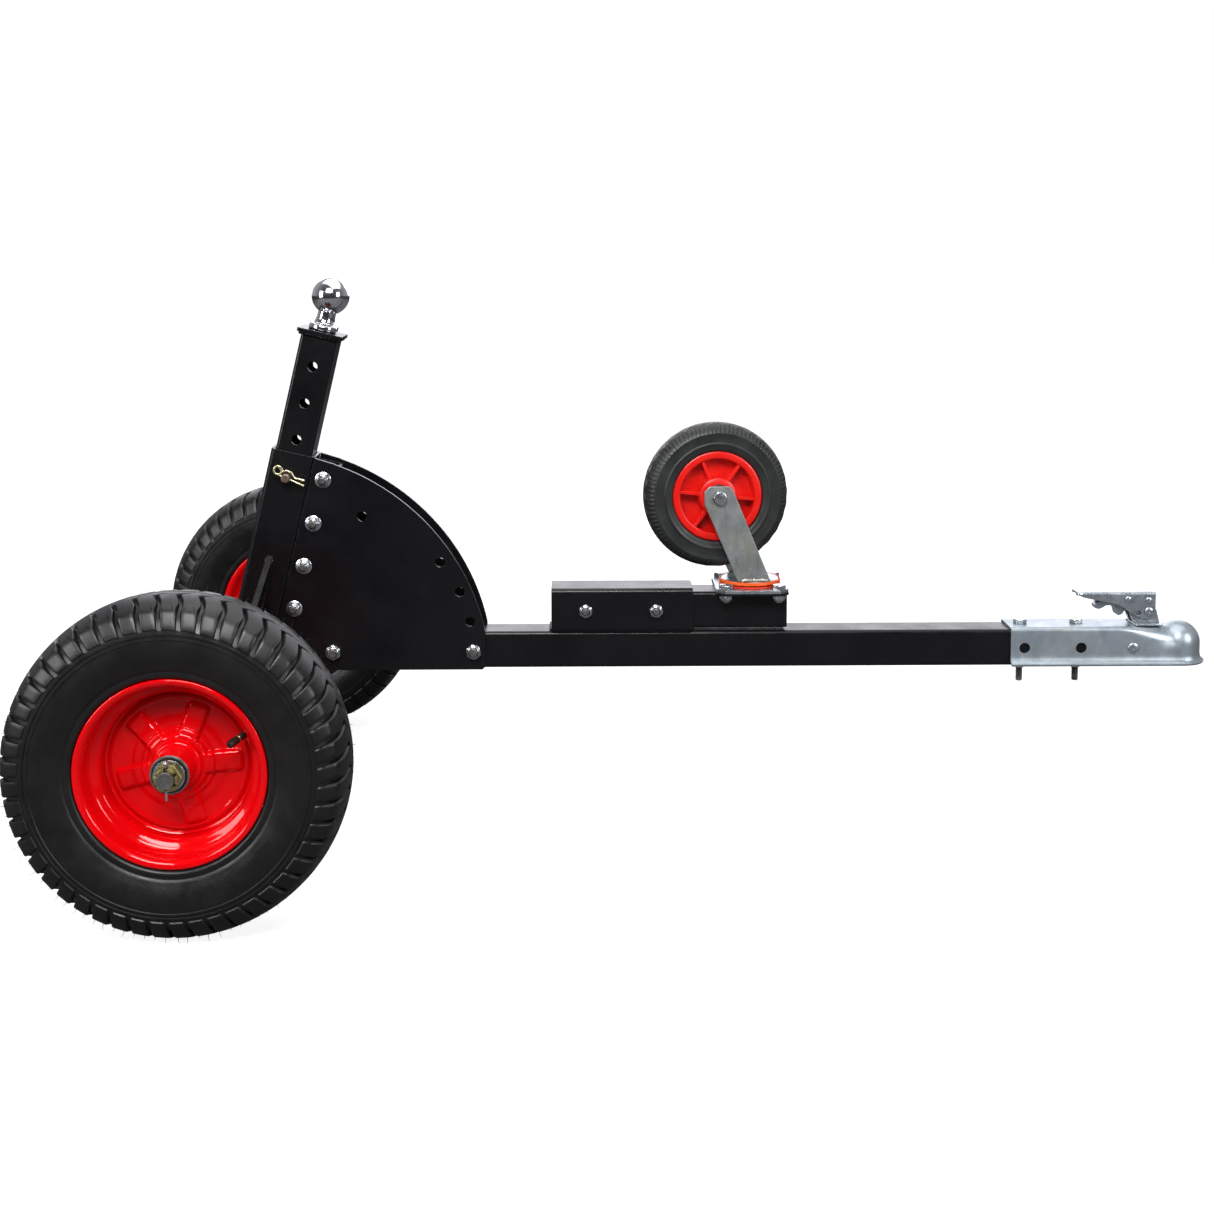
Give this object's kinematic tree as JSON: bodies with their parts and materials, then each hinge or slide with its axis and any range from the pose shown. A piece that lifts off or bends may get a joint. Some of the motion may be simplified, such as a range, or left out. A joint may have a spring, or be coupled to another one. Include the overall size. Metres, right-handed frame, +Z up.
{
  "type": "trailer dolly",
  "caption": "Two-wheel trailer dolly with a height-adjustable hitch ball mast, tilting tow bar, stowed swivel caster and a latching ball coupler.",
  "frame": {"origin": "on the floor, under the middle of the overall length and width", "axes": "+X forward along the tow bar to the coupler, +Y to the left, +Z up"},
  "size_m": [1.5219, 0.928, 0.7387],
  "materials": {
    "frame_black": "gloss powder coat",
    "wheel_red": "gloss enamel",
    "tyre_rubber": "satin",
    "tube_rubber": "matt",
    "caster_rubber": "satin",
    "caster_red": "gloss",
    "seal_orange": "satin",
    "ball_chrome": "polished",
    "hub_steel": "satin",
    "yellow_zinc": "yellow zinc",
    "fastener_zinc": "bright zinc",
    "coupler_zinc": "blue-white zinc",
    "caster_zinc": "zinc"
  },
  "bodies": {
    "chassis": {"mast_outer_tube": "frame_black", "axle_tubes": "frame_black", "axle_stubs": "hub_steel", "quadrant_plate_left": "frame_black", "quadrant_plate_right": "frame_black", "quadrant_spine": "frame_black", "plate_bolts": "fastener_zinc", "plate_nuts": "fastener_zinc", "pivot_bolt": "fastener_zinc", "pivot_nut": "fastener_zinc", "axle_washers": "yellow_zinc", "castle_nuts": "yellow_zinc", "cotter_pins": "yellow_zinc"},
    "mast_slide": {"mast_inner_tube": "frame_black", "mast_cap_plate": "frame_black", "hitch_ball": "ball_chrome", "ball_nut": "hub_steel"},
    "hitch_pin": {"hitch_pin": "hub_steel"},
    "r_clip": {"r_clip": "yellow_zinc"},
    "tow_bar": {"tow_bar_tube": "frame_black", "lock_bolt": "fastener_zinc", "receiver_tube": "frame_black", "receiver_bolts": "fastener_zinc", "receiver_nuts": "fastener_zinc", "caster_mount": "frame_black", "caster_plate": "caster_zinc", "caster_bolts": "fastener_zinc", "caster_nuts": "fastener_zinc", "kingpin": "hub_steel", "swivel_balls": "hub_steel", "dust_ring_lower": "seal_orange", "coupler_body": "coupler_zinc", "coupler_bolts": "fastener_zinc", "coupler_rivets": "fastener_zinc", "latch_bracket": "coupler_zinc"},
    "caster_swivel": {"caster_fork": "caster_zinc", "dust_ring_upper": "seal_orange", "caster_axle_bolt": "fastener_zinc", "caster_axle_nut": "fastener_zinc"},
    "caster_wheel": {"caster_tyre": "caster_rubber", "caster_rim": "caster_red", "caster_bearings": "hub_steel"},
    "coupler_lever": {"coupler_lever": "coupler_zinc", "lever_rivets": "fastener_zinc"},
    "coupler_trigger": {"coupler_trigger": "coupler_zinc"},
    "ball_clamp": {"ball_clamp": "coupler_zinc"},
    "wheel_left": {"tyre_left": "tyre_rubber", "inner_tube_left": "tube_rubber", "rim_barrel_left": "wheel_red", "rim_disc_left": "wheel_red", "hub_left": "hub_steel", "bearings_left": "hub_steel", "valve_left": "tube_rubber"},
    "wheel_right": {"tyre_right": "tyre_rubber", "inner_tube_right": "tube_rubber", "rim_barrel_right": "wheel_red", "rim_disc_right": "wheel_red", "hub_right": "hub_steel", "bearings_right": "hub_steel", "valve_right": "tube_rubber"}
  },
  "joints": [
    {"name": "wheel_left_spin", "type": "hinge", "parent": "chassis", "child": "wheel_left", "pos_m": [-0.563, 0.398, 0.198], "axis": [0, 1, 0], "continuous": true},
    {"name": "wheel_right_spin", "type": "hinge", "parent": "chassis", "child": "wheel_right", "pos_m": [-0.563, -0.398, 0.198], "axis": [0, 1, 0], "continuous": true},
    {"name": "mast_height", "type": "slide", "parent": "chassis", "child": "mast_slide", "axis": [0.2284, 0, 0.9736], "range_m": [-0.1524, 0.1524]},
    {"name": "hitch_pin_pull", "type": "slide", "parent": "chassis", "child": "hitch_pin", "axis": [0, 1, 0], "range_m": [0, 0.09]},
    {"name": "r_clip_pull", "type": "slide", "parent": "chassis", "child": "r_clip", "axis": [-0.9135, 0, 0.4067], "range_m": [0, 0.045], "deforming": ["r_clip"]},
    {"name": "tow_bar_tilt", "type": "hinge", "parent": "chassis", "child": "tow_bar", "pos_m": [-0.4404, 0, 0.2305], "axis": [0, -1, 0], "range_deg": [0, 40.1], "deforming": ["lock_bolt"]},
    {"name": "caster_turn", "type": "hinge", "parent": "tow_bar", "child": "caster_swivel", "pos_m": [0.129, 0, 0.317], "axis": [0, 0, 1], "continuous": true},
    {"name": "caster_spin", "type": "hinge", "parent": "caster_swivel", "child": "caster_wheel", "pos_m": [0.08027, -0.00512, 0.442], "axis": [-0.1045, 0.9945, 0], "continuous": true},
    {"name": "lever_lift", "type": "hinge", "parent": "tow_bar", "child": "coupler_lever", "pos_m": [0.6797, 0, 0.2778], "axis": [0, 1, 0], "range_deg": [0, 80]},
    {"name": "trigger_squeeze", "type": "hinge", "parent": "coupler_lever", "child": "coupler_trigger", "pos_m": [0.6507, 0, 0.2952], "axis": [0, 1, 0], "range_deg": [0, 14], "stiffness_Nm_per_rad": 0.4, "springref_deg": -17.19},
    {"name": "clamp_swing", "type": "hinge", "parent": "tow_bar", "child": "ball_clamp", "pos_m": [0.655, 0, 0.23], "axis": [0, 1, 0], "range_deg": [0, 15]}
  ],
  "couplings": [
    {"joint": "r_clip_pull", "follows": "hitch_pin_pull", "ratio": 0.5},
    {"joint": "clamp_swing", "follows": "lever_lift", "ratio": 0.1875}
  ]
}
